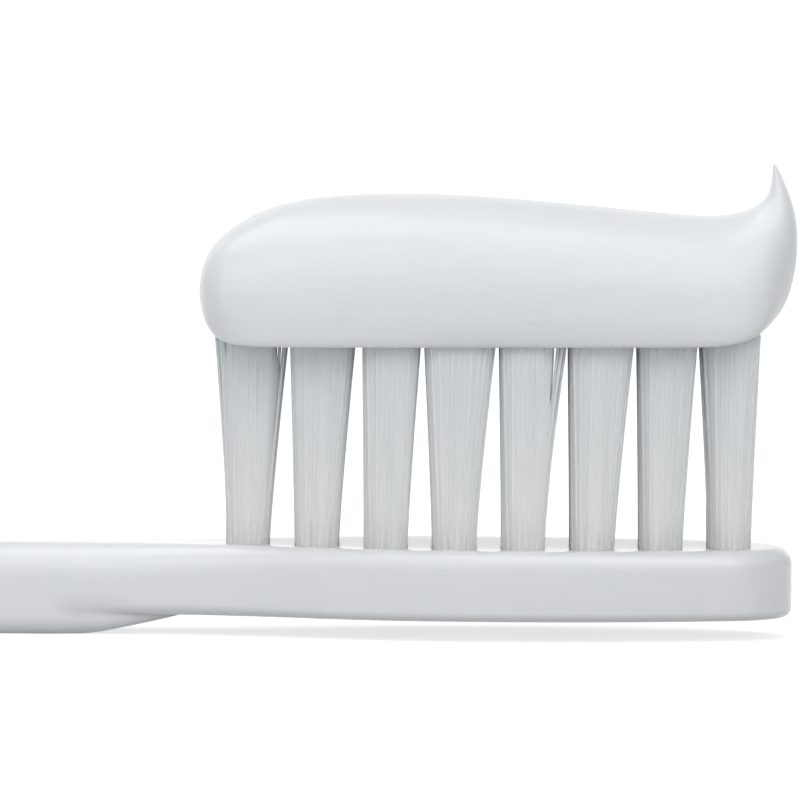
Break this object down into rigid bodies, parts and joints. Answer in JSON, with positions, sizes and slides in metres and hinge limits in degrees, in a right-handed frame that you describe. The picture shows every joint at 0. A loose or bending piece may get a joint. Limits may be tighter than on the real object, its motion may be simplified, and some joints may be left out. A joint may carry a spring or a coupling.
{
  "type": "toothbrush with toothpaste",
  "caption": "Straight manual toothbrush with upright bristle tufts in aligned rows and a thick ribbon of toothpaste, curled up at one end, along their tips.",
  "frame": {"origin": "on the flat back of the handle, half way along the brush and midway across it", "axes": "+X along the brush to the tip of its head, +Z the way the bristles point, +Y across"},
  "size_m": [0.1803, 0.0124, 0.0216],
  "materials": {
    "handle_plastic": "polished white moulding",
    "nylon": "translucent white filaments",
    "anchor_metal": "plain flat wire",
    "paste": "wet white gel"
  },
  "bodies": {
    "root": {"handle": "handle_plastic", "toothpaste": "paste", "tuft_anchors": "anchor_metal", "tuft_c1_r1": "nylon", "tuft_c1_r2": "nylon", "tuft_c2_r1": "nylon", "tuft_c2_r2": "nylon", "tuft_c2_r3": "nylon", "tuft_c3_r1": "nylon", "tuft_c3_r2": "nylon", "tuft_c3_r3": "nylon", "tuft_c4_r1": "nylon", "tuft_c4_r2": "nylon", "tuft_c4_r3": "nylon", "tuft_c5_r1": "nylon", "tuft_c5_r2": "nylon", "tuft_c5_r3": "nylon", "tuft_c6_r1": "nylon", "tuft_c6_r2": "nylon", "tuft_c6_r3": "nylon", "tuft_c7_r1": "nylon", "tuft_c7_r2": "nylon", "tuft_c8_r1": "nylon", "tuft_c8_r2": "nylon"}
  },
  "joints": []
}
